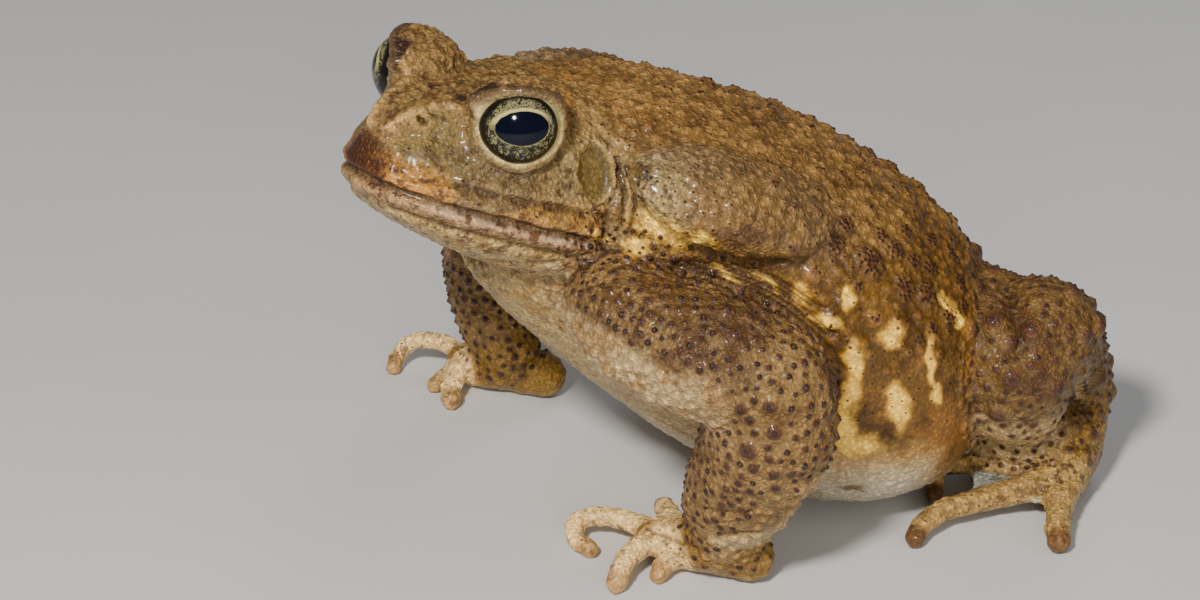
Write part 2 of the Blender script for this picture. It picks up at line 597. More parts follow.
def open_lids(hide):
    """Part the lids over each eye, with a rounded edge."""
    place = head_matrix()
    for side in (1, -1):
        centre = np.array(place @ Vector((side * EYE_PLACE[0], EYE_PLACE[1], EYE_PLACE[2])))
        look = Vector((side * EYE_LOOK[0], EYE_LOOK[1], EYE_LOOK[2]))
        turn = np.array(place.to_3x3() @ facing(look).to_3x3())
        ids = hide.within(centre - 13, centre + 13)
        local = (hide.points[ids] - centre) @ turn
        gap = np.linalg.norm(local, axis=1)
        rear = side * local[:, 1]
        across = np.abs(np.degrees(np.arctan2(rear, local[:, 0])) + LID_SHIFT) / LID_OPEN[0]
        tilt = np.degrees(np.arcsin(np.clip(local[:, 2] / np.maximum(gap, 1e-6), -1, 1)))
        rising = np.where(tilt > 0, tilt / LID_OPEN[1], -tilt / LID_OPEN[2])
        opening = (across ** LID_ROUND + rising ** LID_ROUND) ** (1 / LID_ROUND)
        opening = np.where(local[:, 0] > 0, opening, 9)
        upper = rise(local[:, 2], 0.5, 3.5)
        depth = EYE_RADIUS - 1.3
        share = rise(opening, 1.0 - LID_EDGE * 0.5, 1.0 + LID_EDGE * 0.5)
        rolls = (0.1 + 0.3 * upper) * np.exp(-((opening - 1.2) / 0.1) ** 2)
        rolls -= 0.3 * upper * np.exp(-((opening - 1.42) / 0.07) ** 2)
        rolls -= 0.75 * (1 - upper) * np.exp(-((opening - 1.0) / 0.12) ** 2)
        rolls -= 0.45 * (1 - upper) * np.exp(-((opening - 1.24) / 0.05) ** 2)
        rolls -= 0.4 * (1 - upper) * np.exp(-((opening - 1.46) / 0.07) ** 2)
        rolls *= 1 - rise(gap, 9.5, 11.5)
        fresh = depth + (gap + rolls - depth) * share
        local *= (fresh / np.maximum(gap, 1e-6))[:, None]
        flat = BROW_HEIGHT + (local[:, 2] - BROW_HEIGHT) * 0.62
        local[:, 2] = np.where((local[:, 2] > BROW_HEIGHT) & (gap < 10.5), flat, local[:, 2])
        hide.points[ids] = centre + local @ turn.T
        ring = np.zeros(hide.count)
        ring[ids] = rise(opening, 0.93, 0.95) * (1 - rise(opening, 1.0, 1.07)) * (1 - 0.8 * rise(local[:, 2], 1.0, 4.0))
        hide.mark("lid_ring", ring)
        wide = np.zeros(hide.count)
        wide[ids] = rise(opening, 0.95, 1.05) * (1 - rise(opening, 1.2, 1.45)) * upper
        hide.mark("lid_skin", wide)
        corner = np.zeros(hide.count)
        corner[ids] = rise(rear, 2.0, 6.5) * rise(opening, 1.0, 1.1) * (1 - rise(opening, 1.6, 2.1)) * rise(local[:, 2], -3, 3)
        hide.mark("amber", corner * 0.9)
        edge = np.zeros(hide.count)
        edge[ids] = 0.75 * upper * np.exp(-((opening - 1.3) / 0.07) ** 2) * (gap < 10.5)
        hide.mark("groove", edge)
        front = np.zeros(hide.count)
        front[ids] = rise(-rear, 3.0, 6.0) * rise(opening, 1.1, 1.3) * (1 - rise(opening, 1.7, 2.2)) * rise(local[:, 2], 0.5, 3)
        hide.mark("dark", front * 1.1)
        under = np.zeros(hide.count)
        under[ids] = rise(opening, 1.02, 1.08) * (1 - rise(opening, 1.35, 1.6)) * (1 - upper)
        hide.mark("lower_lid", under)
    hide.refresh()


def set_eardrums(hide):
    """Sink each eardrum a little inside its rim."""
    place = head_matrix()
    for side in (1, -1):
        centre = np.array(place @ Vector((side * EARDRUM_PLACE[0], EARDRUM_PLACE[1], EARDRUM_PLACE[2])))
        turn = np.array(place.to_3x3() @ facing((side * EARDRUM_LOOK[0], EARDRUM_LOOK[1], EARDRUM_LOOK[2])).to_3x3())
        ids = hide.within(centre - 9, centre + 9)
        local = (hide.points[ids] - centre) @ turn
        ring = np.hypot(local[:, 1] / EARDRUM_SIZE[0], local[:, 2] / EARDRUM_SIZE[1])
        rear = rise(side * local[:, 1], -1.5, 2.0)
        sink = -0.55 * (1 - rise(ring, 0.7, 1.0)) + (0.12 + 0.5 * rear) * np.exp(-((ring - 1.12) / 0.13) ** 2)
        hide.points[ids] += turn[:, 0] * sink[:, None]
        drum = np.zeros(hide.count)
        drum[ids] = 1 - rise(ring, 0.9, 1.15)
        hide.mark("drum", drum)
    hide.refresh()


def shape_head(hide, sight):
    """Mouth, lips, ridges, nostrils and the folds round the eyes."""
    def lines(path):
        return head_lines(path, sight)

    lip = [(along(LIP_LINE, b)[0] + 0.2, b, mouth_height(b)) for b in (1.5, 3.5, 6.5, 10, 14, 19, 25, 31, 34)]
    mouth = [(0, -0.2, mouth_height(0)), (3.4, 0.2, mouth_height(0.3))] + lip + [(25.2, 35.6, -12.6)]
    upper = [(p[0], p[1], p[2] + 1.7) for p in mouth[:-1]]
    lower = [(p[0], p[1], p[2] - 1.7) for p in mouth[:-1]]
    crease = [(p[0] - 0.2, p[1], p[2] + 4.0 + 0.02 * p[1]) for p in mouth[4:-1]]
    fold = [(p[0] - 0.2, p[1], p[2] + 5.4 + 0.02 * p[1]) for p in mouth[5:-1]]
    second = [(p[0] - 0.4, p[1], p[2] + 6.9 + 0.03 * p[1]) for p in mouth[6:-2]]
    chin = [(p[0] - 0.8, p[1], p[2] - 4.2) for p in mouth[2:-1]]
    crest = [(2.4, 2.6, 5.8), (3.4, 4.4, 8.6), (4.2, 6.2, 10.8), (6.2, 11.0, 12.2), (9.0, 14.0, 12.5), (12.0, 14.4, 11.6)]
    front = [(12.5, 13.6, 11.4), (15.6, 12.8, 6.5), (17.6, 13.0, 2.0)]
    hide.stroke(lines(upper), 1.1, 0.5)
    hide.stroke(lines(lower), 1.0, 0.45)
    hide.stroke(lines(crest), 0.9, 0.9)
    hide.stroke(lines(front), 1.0, 0.6)
    hide.stroke(lines([(10.5, 12.6, 7.5), (13.6, 11.4, 3.6)]), 1.1, -0.5)
    hide.stroke(lines([(11, 27.5, 11.5), (16, 28.8, 8), (20.5, 29.5, 2.5)]), 1.2, 0.7)
    hide.stroke(lines([(5.6, 5.0, 6.0), (8, 7.6, 6.4), (11.0, 10.0, 6.2)]), 2.4, -0.9)
    hide.stroke(head_lines([(10.5, 14.5, 13), (13.4, 17.5, 16.4), (15.5, 21.5, 17), (16, 26, 14.8)]), 1.4, 0.5)
    hide.stroke(lines(fold), 1.0, 0.32)
    hide.stroke(lines(second), 0.7, -0.2)
    hide.refresh()
    groove = hide.stroke(head_lines(mouth), 0.62, -1.15)
    groove = np.maximum(groove, 0.75 * hide.stroke(lines(chin), 0.7, -0.55))
    groove = np.maximum(groove, 0.6 * hide.stroke(lines(crease), 0.6, -0.6))
    hide.mark("groove", groove)
    hide.stroke(lines([(5.2, 6.6, 9.4), (6.4, 7.6, 7.4)]), 1.3, 0.3)
    nostril = hide.stroke(lines([(5.3, 6.9, 9.0), (6.2, 7.5, 7.8)]), 0.45, -1.5)
    hide.mark("groove", 1.2 * nostril)
    hide.mark("lip", hide.band(lines(upper), 1.5))
    hide.mark("lip", 0.6 * hide.band(lines(fold), 1.0))
    hide.mark("wet_lip", hide.band(lines([(p[0], p[1], p[2] - 1.0) for p in mouth[4:-2]]), 0.75))
    hide.mark("lower_lip", hide.band(lines(lower), 1.9))
    hide.mark("canthus", hide.band(lines(crest), 0.85))
    hide.mark("canthus", 0.7 * hide.band(lines(front), 0.8))
    hide.refresh()


def mark_head(hide):
    """Soft colour places of the head."""
    back = np.array(head_matrix().inverted())
    local = hide.points @ back[:3, :3].T + back[:3, 3]
    out, rear, up = np.abs(local[:, 0]), local[:, 1], local[:, 2]
    near_arm = np.minimum(hide.close(ARM["left"]["upper_arm"]), hide.close(ARM["right"]["upper_arm"]))
    on_head = (1 - rise(rear, 35, 42)) * rise(hide.points[:, 2], 50, 54) * rise(near_arm, 1.0, 1.3)
    hide.masks["head"] = on_head
    lip_up = up - (-MOUTH_DROP - MOUTH_SLOPE * rear)
    tip = (1 - rise(rear, 0.4, 3.4)) * rise(lip_up, 0.2, 1.0) * (1 - rise(up, 3.5, 6.5)) * (1 - rise(out, 3.5, 7.5))
    hide.mark("snout_tip", tip)
    hide.mark("orange", (1 - rise(rear, 6, 13)) * rise(lip_up, 0.2, 1.0) * (1 - rise(lip_up, 4.2, 7)))
    hide.mark("orange", 0.5 * rise(lip_up, 0.4, 1.6) * (1 - rise(lip_up, 3.4, 5.4)) * on_head * (1 - rise(rear, 30, 36)))
    face = rise(lip_up, 3.6, 6.2) * (1 - rise(up, 8.6, 11)) * rise(out, 3.5, 6.5) * (1 - rise(rear, 10.5, 13)) * rise(rear, 2, 4)
    cheek = rise(lip_up, 4.8, 6.6) * (1 - rise(up, 4, 8)) * rise(out, 15, 19) * rise(rear, 22, 27) * (1 - rise(rear, 38, 41))
    hide.mark("olive", np.maximum(face, 0.5 * cheek) * on_head)
    hide.mark("cheek", cheek * on_head)
    hide.mark("chin", on_head * (1 - rise(lip_up, -4.6, -2.8)))


def throat_and_belly(hide):
    """How pale the underside is at each point."""
    x, y, z = hide.points.T
    rows = np.array(smooth_path(TRUNK, 4))
    back = np.interp(y, rows[:, 0], rows[:, 1])
    belly = np.interp(y, rows[:, 0], rows[:, 2])
    share = (z - belly) / np.maximum(back - belly, 1)
    down = -hide.normals[:, 2]
    trunk = hide.masks["trunk"]
    low = (1 - rise(share, 0.05, 0.34))
    low = np.maximum(low, (1 - rise(share, 0.16, 0.44)) * (1 - rise(y, 22, 40)))
    chest = 1 - rise(np.abs(x + 4), 15, 24)
    low = low * (1 - rise(-y, -6, 8) * (1 - rise(down, -0.2, 0.35)))
    front = rise(-y, 8, 26) * rise(-hide.normals[:, 1] + down, 0.25, 0.8) * (1 - rise(share, 0.35, 0.75)) * chest
    hide.mark("belly", trunk * np.maximum(low, front))
    hide.mark("belly", hide.masks["chin"])
    hide.mark("under", (1 - trunk) * (1 - hide.masks["head"]) * rise(down, 0.2, 0.75))
    hide.mark("under", 0.95 * hide.masks["leg"] * (1 - rise(z, 17, 29)) * (1 - rise(y, 52, 58)))
    inner = rise(-y, 13, 28) * (1 - rise(hide.normals[:, 2], -0.25, 0.7))
    hide.mark("under", hide.masks["arm"] * inner)


def regions(hide):
    """Which part of the toad each point belongs to."""
    def part(rows, low=1.12, high=1.4):
        return 1 - rise(hide.close(rows), low, high)

    arms = np.zeros(hide.count)
    fores = np.zeros(hide.count)
    legs = np.zeros(hide.count)
    digits = np.zeros(hide.count)
    tips = np.zeros(hide.count)
    hands = np.zeros(hide.count)
    feet = np.zeros(hide.count)
    webs = np.zeros(hide.count)
    for name, side in (("left", 1), ("right", -1)):
        arm = ARM[name]
        fold = FOLDED[name]
        arms = np.maximum(arms, part(arm["upper_arm"], 1.2, 1.6))
        fores = np.maximum(fores, part(arm["forearm"]))
        hands = np.maximum.reduce([hands, part(arm["palm"]), part(arm["heel"])])
        for key in ("thigh", "under_thigh", "shank", "thigh_base"):
            legs = np.maximum(legs, part(fold[key]))
        feet = np.maximum.reduce([feet, part(flipped(LEG["tarsus"], side)), part(flipped(LEG["sole"], side))])
        toes = [flipped(toe, side) for toe in LEG["toes"]]
        for digit in arm["digits"] + toes:
            digits = np.maximum(digits, part(digit, 1.3, 1.7))
            end = np.array(digit[-1][:3])
            tips = np.maximum(tips, 1 - rise(np.linalg.norm(hide.points - end, axis=1), 1.4, 4.2))
        for one, two in zip(toes[:-1], toes[1:]):
            for t in (0.3, 0.5, 0.7):
                middle = [tuple(np.array(a) * (1 - t) + np.array(b) * t) for a, b in zip(one[:3], two[:3])]
                webs = np.maximum(webs, part(middle, 0.8, 1.5))
    webs *= (1 - digits) * (1 - feet)
    limbs = np.maximum.reduce([arms, fores, legs, hands, feet, digits, webs])
    hide.masks.update(arm=arms, forearm=fores, leg=legs, digit=digits, finger_tip=tips * digits, hand=hands, foot=feet,
                      web=webs, limb=np.maximum.reduce([arms, fores, legs]))
    hide.masks["trunk"] = (1 - limbs) * (1 - hide.masks["head"])


def photo_marks(hide, sight):
    """Blotches of colour seen on the near side, and their like on the far side."""
    kinds = {"cream": CREAM_MARKS, "dark": DARK_MARKS, "amber": AMBER_MARKS}
    chance = np.random.default_rng(SEED + 5)
    right, up, ahead = (np.array(v) for v in camera_turn())
    for name, rows in kinds.items():
        for across, down, half, tall, lean in rows:
            place = sight.seen(across, down)
            if place is None:
                continue
            for side in (1, -1):
                centre = np.array(place if side > 0 else sight.other_side(place))
                if side < 0:
                    centre = centre + (0, chance.uniform(-3, 3), chance.uniform(-2, 2))
                edge = max(half, tall) * 1.7
                ids = hide.within(centre - edge, centre + edge)
                drift = [noise.noise_vector(Vector(p) * 0.35 + Vector((0, side, 0))) for p in hide.points[ids].tolist()]
                gap = hide.points[ids] - centre + np.array([tuple(v) for v in drift]).reshape(-1, 3) * 1.3
                first = right if side > 0 else right * (-1, 1, 1)
                second = up if side > 0 else up * (-1, 1, 1)
                a = math.radians(lean)
                u = gap @ first
                v = -(gap @ second)
                ring = np.hypot((u * math.cos(a) + v * math.sin(a)) / half, (-u * math.sin(a) + v * math.cos(a)) / tall)
                values = np.zeros(hide.count)
                values[ids] = np.clip(1.45 - ring, 0, 1)
                hide.mark(name, values)


def spread(hide, chance, weight, count, gap, taken):
    """Pick seeded places on the skin that stand apart from each other."""
    weight = np.maximum(weight, 0)
    picks = chance.choice(hide.count, size=count * 14, p=weight / weight.sum())
    found = []
    cell = 5.0
    for pick in picks:
        p = hide.points[pick]
        key = tuple((p // cell).astype(int))
        clear = True
        for i in (-1, 0, 1):
            for j in (-1, 0, 1):
                for k in (-1, 0, 1):
                    for q, room in taken.get((key[0] + i, key[1] + j, key[2] + k), ()):
                        if (p[0] - q[0]) ** 2 + (p[1] - q[1]) ** 2 + (p[2] - q[2]) ** 2 < (gap + room) ** 2:
                            clear = False
        if clear:
            taken.setdefault(key, []).append((tuple(p), gap))
            found.append(int(pick))
            if len(found) >= count:
                break
    return found


class Warts:
    """Collects warts, then raises them all at once."""

    def __init__(self, hide):
        self.hide = hide
        self.tree = KDTree(hide.count)
        for i, p in enumerate(hide.points.tolist()):
            self.tree.insert(p, i)
        self.tree.balance()
        self.height = np.zeros(hide.count)
        self.shade = np.zeros(hide.count)
        self.spots = np.zeros(hide.count)
        self.cores = np.zeros(hide.count)

    def add(self, place, radius, height, round_off=1.0, shade=1.0):
        """One wart: round_off under 1 gives a blunt top, over 1 a pointed one."""
        found = self.tree.find_range(place, radius)
        if not found:
            return
        ids = np.array([row[1] for row in found])
        gap = np.array([row[2] for row in found]) / radius
        bell = (0.5 + 0.5 * np.cos(math.pi * gap)) ** (round_off * 0.75)
        np.maximum.at(self.height, ids, bell * height)
        np.maximum.at(self.shade, ids, bell * shade)
        np.maximum.at(self.cores, ids, np.clip(1.3 - gap * 1.7, 0, 1) * shade)

    def spot(self, place, radius):
        """A dark spot of skin round a wart's tip."""
        found = self.tree.find_range(place, radius * 1.6)
        ids = np.array([row[1] for row in found], dtype=int)
        gap = np.array([row[2] for row in found]) / radius
        if len(ids):
            np.maximum.at(self.spots, ids, np.clip(1.3 - gap, 0, 1))

    def settle(self):
        """Raise the skin and keep the marks."""
        self.hide.move(self.height)
        self.hide.ease(1, 0.6 * (self.height > 0.02))
        self.hide.mark("wart", self.shade)
        self.hide.mark("spot", self.spots)
        self.hide.mark("core", self.cores)


def grow_warts(hide, sight):
    """Warts of every kind, and the list of their hard dark tips."""
    chance = np.random.default_rng(SEED)
    warts = Warts(hide)
    m = hide.masks
    x, y, z = hide.points.T
    nx, ny, nz = hide.normals.T
    tips = []
    taken = {}
    clear = (1 - m["lid_ring"]) * (1 - m["drum"]) * (1 - np.minimum(1, m["groove"] * 2))
    upper = rise(nz, -0.25, 0.25)

    def tip(index, radius):
        tips.append((index, radius))
        warts.spot(hide.points[index], radius * 1.7)

    for side in (1, -1):
        for across, down, radius in WART_CLUSTERS:
            place = sight.seen(across, down)
            if place is None:
                continue
            place = place if side > 0 else sight.other_side(place)
            warts.add(place, radius * 1.3, radius * 0.45, 0.6, 1.0)
            near = np.array([row[1] for row in warts.tree.find_range(place, radius * 1.25)], dtype=int)
            m["dark"][near] = np.maximum(m["dark"][near], 0.75)
            taken.setdefault(tuple((np.array(place) // 5.0).astype(int)), []).append((tuple(place), radius))
            count = int(3 + radius * radius * 3)
            nearest = warts.tree.find(place)[1]
            turn = facing(hide.normals[nearest]).to_3x3()
            for row in range(count):
                angle = 2.4 * row + chance.uniform(-0.3, 0.3)
                out = radius * 0.95 * math.sqrt((row + 0.4) / count)
                index = warts.tree.find(place + turn @ Vector((0, out * math.cos(angle), out * math.sin(angle))))[1]
                warts.add(hide.points[index], 0.6, radius * 0.45 + 0.28, 0.9, 1.0)
                warts.spot(hide.points[index], 0.4)
        for across, down, radius in FOREARM_WARTS:
            place = sight.seen(across, down)
            place = place if side > 0 else sight.other_side(place)
            index = warts.tree.find(place)[1]
            warts.add(place, radius * 1.15, radius * 0.55, 0.8, 1.0)
            tip(index, 0.3)
            taken.setdefault(tuple((np.array(place) // 5.0).astype(int)), []).append((tuple(place), radius))
            for more in range(2):
                near = warts.tree.find(place + Vector(chance.uniform(-1, 1, 3)) * radius * 0.5)[1]
                tip(near, 0.22)
    for across, down, radius in KNUCKLES:
        place = sight.seen(across, down)
        if place is not None:
            warts.add(place, radius * 1.3, radius * 0.8, 0.7, 0.15)

    limb = np.maximum(m["arm"], m["forearm"]) * clear * (1 - m["belly"]) * rise(nz + 0.35 * np.abs(nx), -0.45, 0.0)
    for index in spread(hide, chance, limb, 1500, 0.92, taken):
        radius = chance.uniform(0.8, 1.45)
        pale = m["under"][index] > 0.35
        warts.add(hide.points[index], radius, radius * 0.5, 0.8, 0.1 if pale else 1.0)
        if not pale:
            tip(index, chance.uniform(0.18, 0.4))
    leg = m["leg"] * clear * rise(nz + 0.6 * np.abs(nx) + 0.3 * ny, -0.5, 0.05)
    for index in spread(hide, chance, leg, 80, 2.0, taken):
        radius = chance.uniform(1.9, 2.9)
        warts.add(hide.points[index], radius, radius * 0.6, 0.8, 0.8)
        tip(index, 0.3)
    for index in spread(hide, chance, leg, 700, 0.95, taken):
        radius = chance.uniform(0.9, 1.4)
        warts.add(hide.points[index], radius, radius * 0.5, 0.9, 0.9)
        if chance.uniform() < 0.6:
            tip(index, chance.uniform(0.18, 0.3))

    back = m["trunk"] * clear * upper * rise(z, 34, 58) * (1 - 0.7 * np.minimum(1, m["gland"] * 1.4))
    flank = m["trunk"] * clear * rise(z, 22, 34) * (1 - rise(z, 52, 66)) * (1 - m["belly"])
    for index in spread(hide, chance, back * rise(y, -20, 10), 75, 2.3, taken):
        radius = chance.uniform(2.0, 3.0)
        warts.add(hide.points[index], radius, radius * 0.42, 0.8, 0.9)
        for more in range(3):
            near = warts.tree.find(Vector(hide.points[index]) + Vector(chance.uniform(-1, 1, 3)) * radius * 0.5)[1]
            warts.add(hide.points[near], 0.6, radius * 0.42 + 0.25, 1.0, 1.0)
            warts.spot(hide.points[near], 0.36)
    for index in spread(hide, chance, back, 1300, 0.85, taken):
        radius = chance.uniform(0.8, 1.5)
        warts.add(hide.points[index], radius, radius * 0.5, 0.9, 0.75)
        if chance.uniform() < 0.5:
            warts.spot(hide.points[index], chance.uniform(0.22, 0.4))
    for index in spread(hide, chance, flank, 170, 0.9, taken):
        warts.add(hide.points[index], 0.6, 0.16, 1.0, 0.4)
        warts.spot(hide.points[index], 0.34)
    gland = m["gland"] * clear
    for index in spread(hide, chance, gland, 300, 0.85, taken):
        radius = chance.uniform(0.9, 1.7)
        warts.add(hide.points[index], radius, radius * 0.3, 0.7, 0.3)
        warts.spot(hide.points[index], chance.uniform(0.25, 0.45))
    for index in spread(hide, chance, m["pores"] * clear, 170, 0.62, taken):
        warts.spot(hide.points[index], chance.uniform(0.26, 0.42))
    crown = m["head"] * clear * rise(nz, 0.1, 0.5) * rise(z, 82, 86) * (1 - m["lid_skin"])
    for index in spread(hide, chance, crown, 520, 0.6, taken):
        radius = chance.uniform(0.6, 1.15)
        warts.add(hide.points[index], radius, radius * 0.5, 1.0, 0.7)
    cheek = m["head"] * clear * rise(np.abs(nx), 0.2, 0.6) * (1 - rise(z, 80, 86)) * (1 - m["chin"])
    for index in spread(hide, chance, cheek, 150, 0.95, taken):
        warts.add(hide.points[index], 0.75, 0.13, 1.0, 0.3)
        if chance.uniform() < 0.5:
            warts.spot(hide.points[index], chance.uniform(0.25, 0.42))
    under = np.maximum(m["belly"], m["under"]) * clear
    for index in spread(hide, chance, under, 2600, 0.5, taken):
        radius = chance.uniform(0.5, 0.95)
        warts.add(hide.points[index], radius, radius * 0.26, 0.8, 0.3)
    hands = np.maximum.reduce([m["hand"], m["foot"], m["digit"] * (1 - m["finger_tip"])]) * clear * rise(nz, -0.3, 0.2)
    for index in spread(hide, chance, hands, 420, 0.8, taken):
        warts.add(hide.points[index], 0.8, 0.26, 0.9, 0.5)
        if chance.uniform() < 0.4:
            warts.spot(hide.points[index], 0.3)
    jaw = hide.band(head_lines([(24.5, 33, -9.5), (25.4, 36, -12), (24.5, 34, -15.5)]), 3.4)
    for index in spread(hide, chance, jaw, 110, 0.5, taken):
        warts.add(hide.points[index], 0.6, 0.28, 0.9, 0.6)
        warts.spot(hide.points[index], chance.uniform(0.35, 0.6))
    warts.settle()
    return tips


def shape_skin():
    """The whole skin: one closed mesh with its marks, and where the wart tips stand."""
    obj = one_skin(flesh_shapes())
    hide = Hide(obj.data)
    hide.ease(3)
    mark_head(hide)
    regions(hide)
    m = hide.masks
    fine = np.maximum.reduce([m["digit"], m["web"], m["head"] * 0.85])
    hide.ease(26, 1 - fine)
    hide.ease(3, m["digit"])
    over = np.zeros(hide.count)
    for side in (1, -1):
        middle = np.array((side * GLAND_CENTRE[0], GLAND_CENTRE[1], GLAND_CENTRE[2]))
        axis = np.array((side * GLAND_AXIS[0], GLAND_AXIS[1], GLAND_AXIS[2]), float)
        axis /= np.linalg.norm(axis)
        local = hide.points - middle
        length = np.abs(local @ axis)
        inner = -side * local[:, 0] * 0.8 + (local - (local @ axis)[:, None] * axis)[:, 2] * 0.6
        over = np.maximum(over, (1 - rise(length, 16, 26)) * rise(inner, -1.0, 4.0) * (1 - rise(inner, 12, 18)) * (side * local[:, 0] > -16))
        front = np.linalg.norm(hide.points - (middle - axis * 16.5), axis=1)
        over = np.maximum(over, np.exp(-(front / 6.5) ** 2))
    hide.ease(70, over * (1 - m["head"]))
    nape = np.exp(-((hide.points[:, 1] + 29) / 10) ** 2) * rise(hide.points[:, 2], 66, 74)
    hide.ease(30, m["trunk"] * (1 - rise(hide.points[:, 2], 44, 56)))
    hide.ease(100, nape * (1 - rise(np.abs(hide.points[:, 0]), 14, 22)) * (1 - 0.6 * m["head"]))
    shape_head(hide, Sight(hide))
    open_lids(hide)
    set_eardrums(hide)
    sight = Sight(hide)
    gland_lines = []
    for side in (1, -1):
        middle = Vector((side * GLAND_CENTRE[0], GLAND_CENTRE[1], GLAND_CENTRE[2]))
        axis = Vector((side * GLAND_AXIS[0], GLAND_AXIS[1], GLAND_AXIS[2])).normalized()
        gland_lines.append([tuple(middle + axis * t) for t in (-14, 0, 14)])
    m["gland"] = hide.band(gland_lines, 9.5, 4) * (1 - m["head"])
    fronts = []
    for line in gland_lines:
        first, middle = Vector(line[0]), Vector(line[1])
        fronts.append([tuple(first.lerp(middle, t)) for t in (-0.25, 0.1, 0.5)])
    m["pores"] = hide.band(fronts, 7.0, 2) * (1 - m["drum"]) * rise(hide.points[:, 1], -37, -25)
    throat_and_belly(hide)
    photo_marks(hide, sight)
    for group, width, depth, dark in ((SHOULDER_FOLDS, 0.5, -0.7, 0.85), (NECK_FOLDS, 0.6, -0.9, 0.85),
                                      (THROAT_FOLDS, 0.7, -0.5, 0.6), (ELBOW_FOLDS, 1.0, -0.35, 0.3),
                                      (WRIST_FOLDS, 0.7, -0.45, 0.7), (KNEE_FOLDS, 2.0, -1.8, 0.3)):
        lines = []
        for places in group:
            line = sight.line(places)
            if len(line) > 1:
                lines.append(line)
                lines.append([tuple(sight.other_side(p)) for p in line])
        lines = [line for line in lines if max((Vector(a) - Vector(b)).length for a, b in zip(line, line[1:])) < 26]
        hide.mark("groove", dark * hide.stroke(lines, width, depth))
    hide.refresh()
    uneven = np.array([noise.noise(Vector(p) * 0.16) + 0.5 * noise.noise(Vector(p) * 0.45) for p in hide.points.tolist()])
    lumps = np.array([noise.noise(Vector(p) * 0.38 + Vector((9, 0, 0))) for p in hide.points.tolist()])
    calm = (1 - m["lid_ring"]) * (1 - m["drum"])
    hide.move(uneven * 0.3 * (1 - 0.75 * fine) * calm + lumps * 0.32 * np.maximum(m["head"], m["digit"]) * calm)
    hide.refresh()
    tips = grow_warts(hide, sight)
    hide.refresh()
    hollow = np.einsum("ij,ij->i", hide.around(hide.points) - hide.points, hide.normals)
    hollow = hide.around(hide.around(hollow))
    m["hollow"] = np.clip(hollow / 0.05, -1, 1) * 0.5 + 0.5
    hide.points[:, 2] = np.maximum(hide.points[:, 2], 0.0)
    return obj, hide, tips


def store(obj, hide, move):
    """Write the shaped points and the marks back to the mesh, in metres."""
    mesh = obj.data
    placed = (hide.points + move) * MM
    mesh.vertices.foreach_set("co", placed.ravel())
    for name, values in hide.masks.items():
        layer = mesh.attributes.new(name, "FLOAT", "POINT")
        layer.data.foreach_set("value", values.astype(np.float32))
    mesh.polygons.foreach_set("use_smooth", [True] * len(mesh.polygons))
    mesh.update()


class Shade:
    """A value or colour of a material, so that shader sums read as plain sums."""

    def __init__(self, tree, socket=None):
        self.tree = tree
        self.socket = socket

    def node(self, kind, settings=None, values=None, out=0):
        """Add a node by its type, settings, and socket values or links, and give back one output."""
        made = self.tree.nodes.new(kind)
        for name, setting in (settings or {}).items():
            if name == "stops":
                ramp = made.color_ramp.elements
                while len(ramp) < len(setting):
                    ramp.new(0.5)
                for stop, (place, colour) in zip(ramp, setting):
                    stop.position = place
                    stop.color = (*colour, 1)
            else:
                setattr(made, name, setting)
        for name, value in (values or {}).items():
            if isinstance(value, Shade):
                self.tree.links.new(value.socket, made.inputs[name])
            else:
                made.inputs[name].default_value = value
        return Shade(self.tree, made.outputs[out])

    def sum_of(self, operation, *others):
        """One step of arithmetic."""
        return self.node("ShaderNodeMath", {"operation": operation}, dict(enumerate(others)))

    def __add__(self, other):
        return self.sum_of("ADD", self, other)

    __radd__ = __add__

    def __sub__(self, other):
        return self.sum_of("SUBTRACT", self, other)

    def __rsub__(self, other):
        return self.sum_of("SUBTRACT", other, self)

    def __mul__(self, other):
        return self.sum_of("MULTIPLY", self, other)

    __rmul__ = __mul__

    def __truediv__(self, other):
        return self.sum_of("DIVIDE", self, other)

    def __pow__(self, other):
        return self.sum_of("POWER", self, other)

    def most(self, other):
        """The larger of two values."""
        return self.sum_of("MAXIMUM", self, other)

    def least(self, other):
        """The smaller of two values."""
        return self.sum_of("MINIMUM", self, other)

    def step(self, low, high):
        """Go smoothly from 0 to 1 between two values."""
        values = {"Value": self, "From Min": low, "From Max": high, "To Min": 0.0, "To Max": 1.0}
        return self.node("ShaderNodeMapRange", {"interpolation_type": "SMOOTHSTEP"}, values)

    def into(self, colour, amount):
        """Mix this colour with another by an amount."""
        other = colour if isinstance(colour, Shade) else (*colour, 1)
        values = {0: amount, 6: self, 7: other}
        return self.node("ShaderNodeMix", {"data_type": "RGBA"}, values, 2)

    def times(self, amount):
        """Darken or lighten this colour by a value."""
        grey = self.node("ShaderNodeCombineColor", None, {0: amount, 1: amount, 2: amount})
        return self.node("ShaderNodeMix", {"data_type": "RGBA", "blend_type": "MULTIPLY"}, {0: 1.0, 6: self, 7: grey}, 2)

    def mark(self, name):
        """A mark kept on the mesh."""
        return self.node("ShaderNodeAttribute", {"attribute_name": name}, None, 2)

    def millimetres(self):
        """Where a point is on the object, in millimetres."""
        place = self.node("ShaderNodeTexCoord", None, None, 3)
        return place.node("ShaderNodeVectorMath", {"operation": "SCALE"}, {0: place, 3: 1000.0})

    def cloud(self, place, size, detail=2.0, rough=0.5):
        """Soft noise whose patches are about a size across, in millimetres."""
        values = {"Vector": place, "Scale": 1.0 / size, "Detail": detail, "Roughness": rough}
        return self.node("ShaderNodeTexNoise", None, values, 0)

    def cells(self, place, size, feature="F1", loose=1.0):
        """Distance to the middle of small cells, in cells."""
        values = {"Vector": place, "Scale": 1.0 / size, "Randomness": loose}
        return self.node("ShaderNodeTexVoronoi", {"feature": feature}, values, 0)


